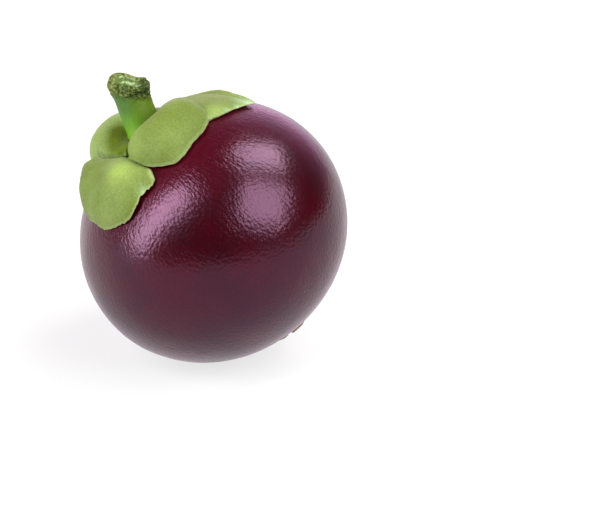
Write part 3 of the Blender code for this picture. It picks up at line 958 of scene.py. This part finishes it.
class MANGOSTEEN_OT_rosette(bpy.types.Operator):
    """Make the stigma's lobed rosette under the fruit"""

    bl_idname = "mangosteen.rosette"
    bl_label = "Rosette"

    def execute(self, context):
        calyx = context.scene.mangosteen_calyx
        angle = np.linspace(0, 2 * math.pi, ROSETTE_AROUND, endpoint=False)[None, :]
        # From the middle over the lobes' tops, round their edge and back under them.
        over, edge, under = ROSETTE_ROWS
        outward = np.linspace(0.04, 0.9, over), np.linspace(0.92, 1, edge), np.linspace(0.98, 0.1, under)
        dome = through(((0, 0.45), (over / 2, 0.95), (over - 1, 1.0)), np.arange(over))
        upward = dome, np.linspace(0.95, 0.25, edge), np.zeros(under)
        reach, rise = np.concatenate(outward)[:, None], np.concatenate(upward)[:, None]
        between = np.cos(calyx.rosette_lobes * angle / 2)  # 0 between two lobes
        notch = np.exp(-((between / LOBE_NOTCH) ** 2))
        radius = reach * (calyx.rosette_radius + LOBE_REACH * (1 - 2 * notch))
        groove = np.exp(-((between / LOBE_GROOVE) ** 2)) * np.clip(reach * 1.5, 0, 1)
        x, y = radius * np.cos(angle), radius * np.sin(angle)
        flat = np.stack((x, y, 0 * x), -1)
        rough = lumps(flat, 1.1 * MM, 9.0) * 0.6 + lumps(flat, 0.5 * MM, 3.0) * 0.4
        lobe = LOBE_HEIGHT * rise * (1 - GROOVE_DEPTH * groove) + LOBE_ROUGH * rough * rise
        rings = over_bottom(x, y, GAP + lobe)
        worn = np.clip(rise * (1 - groove), 0, 1)
        loft(
            "rosette",
            "stigma_rosette",
            rings,
            rings[0].mean(0),
            rings[-1].mean(0),
            {"worn": (worn, 0.3, 0.0)},
            rosette_material(),
        )
        return {"FINISHED"}


# Soft boxes: the direction they stand in, that of their long side, their width and length as
# seen from one unit away, and their brightness against a white of 1.
SOFT_BOXES = {
    "right_far": ((0.439, 0.204, 0.875), (0.25, -0.887, -0.387), 0.62, 0.40, 10.0),
    "right_near": ((0.632, -0.431, 0.624), (0.25, -0.887, -0.387), 0.71, 0.62, 7.8),
    "left_tall": ((-0.735, -0.425, 0.53), (0.61, 0.0, 0.79), 0.31, 1.12, 13.6),
}


class MANGOSTEEN_OT_stage(bpy.types.Operator):
    """Make the plain pale floor, the soft lights and the camera"""

    bl_idname = "mangosteen.stage"
    bl_label = "Studio"

    def execute(self, context):
        stage, scene = context.scene.mangosteen_stage, context.scene
        bm = bmesh.new()
        bmesh.ops.create_grid(bm, x_segments=1, y_segments=1, size=stage.floor_size / 2)
        mesh = bpy.data.meshes.new("floor")
        bm.to_mesh(mesh)
        bm.free()
        paint, tree, shader, place = new_material("matt_floor_paint")
        grain = add(tree, "ShaderNodeTexNoise", {"Vector": place, "Scale": 1 / (30 * MM), "Detail": 2.0})
        tone = add(
            tree, "ShaderNodeMapRange", {"Value": grain.outputs["Fac"], "To Min": 0.99, "To Max": 1.01}
        )
        colour = add(
            tree,
            "ShaderNodeVectorMath",
            {0: tuple(stage.floor_colour), "Scale": tone.outputs[0]},
            operation="SCALE",
        )
        tree.links.new(colour.outputs[0], shader.inputs["Base Color"])
        shader.inputs["Roughness"].default_value = 0.9
        shader.inputs["Specular IOR Level"].default_value = 0.1
        shader.inputs["Emission Color"].default_value = (1, 1, 1, 1)
        # It glows, and more towards the horizon, so that it stays an even white out there.
        away = add(tree, "ShaderNodeVectorMath", {0: place}, operation="LENGTH")
        glow = add(
            tree,
            "ShaderNodeMapRange",
            {
                "Value": away.outputs["Value"],
                "From Min": 0.8,
                "From Max": 4.5,
                "To Min": 0.72,
                "To Max": 0.97,
            },
        )
        tree.links.new(glow.outputs[0], shader.inputs["Emission Strength"])
        mesh.materials.append(paint)
        floor = bpy.data.objects.new("floor", mesh)
        scene.collection.objects.link(floor)

        for name, (way, long_side, wide, tall, brightness) in SOFT_BOXES.items():
            away = Vector(way).normalized()
            along = Vector(long_side)
            along = (along - away * along.dot(away)).normalized()
            light = bpy.data.lights.new(name, "AREA")
            light.shape = "RECTANGLE"
            light.size, light.size_y = wide * stage.light_distance, tall * stage.light_distance
            light.energy = brightness * math.pi * light.size * light.size_y
            box = bpy.data.objects.new(name, light)
            turn = Matrix((along.cross(away), along, away)).transposed().to_4x4()
            box.matrix_world = Matrix.Translation(away * stage.light_distance) @ turn
            box.visible_camera = False
            scene.collection.objects.link(box)

        world = bpy.data.worlds.new("studio")
        scene.world = world
        world.use_nodes = True
        tree = world.node_tree
        sky = tree.nodes["Background"]
        way = add(tree, "ShaderNodeTexCoord").outputs["Generated"]
        axes = add(tree, "ShaderNodeSeparateXYZ", {0: way}).outputs
        # A wall behind the fruit, fading to a dark studio round the sides, front and top. The camera
        # sees white instead.
        behind = add(tree, "ShaderNodeClamp", {"Value": axes["Y"]})
        wall = add(tree, "ShaderNodeMath", {0: behind.outputs[0], 1: 5.0}, operation="POWER")
        bright = add(tree, "ShaderNodeMapRange", {"Value": wall.outputs[0], "To Min": 0.02, "To Max": 2.3})
        seen = add(tree, "ShaderNodeLightPath").outputs["Is Camera Ray"]
        shown = add(tree, "ShaderNodeMath", {0: bright.outputs[0], 1: seen}, operation="MAXIMUM")
        tree.links.new(shown.outputs[0], sky.inputs["Strength"])
        tint = add(tree, "ShaderNodeMix", {0: seen, 6: stage.wall_colour, 7: (1, 1, 1)}, data_type="RGBA")
        tree.links.new(tint.outputs[2], sky.inputs["Color"])

        camera = bpy.data.objects.new("camera", bpy.data.cameras.new("camera"))
        camera.data.lens = stage.lens
        camera.data.sensor_width = 36.0
        camera.data.clip_start, camera.data.clip_end = 0.01, 50.0
        back = Vector((0, -math.cos(stage.elevation), math.sin(stage.elevation)))
        camera.location = Vector(stage.aim) + back * stage.distance
        camera.rotation_euler = (math.pi / 2 - stage.elevation, 0, 0)
        scene.collection.objects.link(camera)
        scene.camera = camera
        scene.view_settings.view_transform = "Standard"
        return {"FINISHED"}


OPERATORS = (
    MANGOSTEEN_OT_rind,
    MANGOSTEEN_OT_sepals,
    MANGOSTEEN_OT_stalk,
    MANGOSTEEN_OT_rosette,
    MANGOSTEEN_OT_stage,
)
GROUPS = {
    "mangosteen_fruit": MangosteenFruit,
    "mangosteen_calyx": MangosteenCalyx,
    "mangosteen_colours": MangosteenColours,
    "mangosteen_stage": MangosteenStage,
}


class VIEW3D_PT_mangosteen(bpy.types.Panel):
    """Sizes, colours and the steps that build the mangosteen"""

    bl_label = "Mangosteen"
    bl_space_type = "VIEW_3D"
    bl_region_type = "UI"
    bl_category = "Mangosteen"

    def draw(self, context):
        for name, group in GROUPS.items():
            box = self.layout.box()
            box.label(text=name.replace("_", " ").capitalize())
            for setting in group.__annotations__:
                box.prop(getattr(context.scene, name), setting)
        for operator in OPERATORS:
            self.layout.operator(operator.bl_idname)


def register():
    for kind in (*GROUPS.values(), *OPERATORS, VIEW3D_PT_mangosteen):
        bpy.utils.register_class(kind)
    for name, group in GROUPS.items():
        setattr(bpy.types.Scene, name, PointerProperty(type=group))


def unregister():
    for name in GROUPS:
        delattr(bpy.types.Scene, name)
    for kind in (VIEW3D_PT_mangosteen, *reversed(OPERATORS), *reversed(GROUPS.values())):
        bpy.utils.unregister_class(kind)


def main():
    register()
    bpy.ops.mangosteen.rind()
    bpy.ops.mangosteen.sepals()
    bpy.ops.mangosteen.stalk()
    bpy.ops.mangosteen.rosette()
    bpy.ops.mangosteen.stage()


if __name__ == "__main__":
    main()
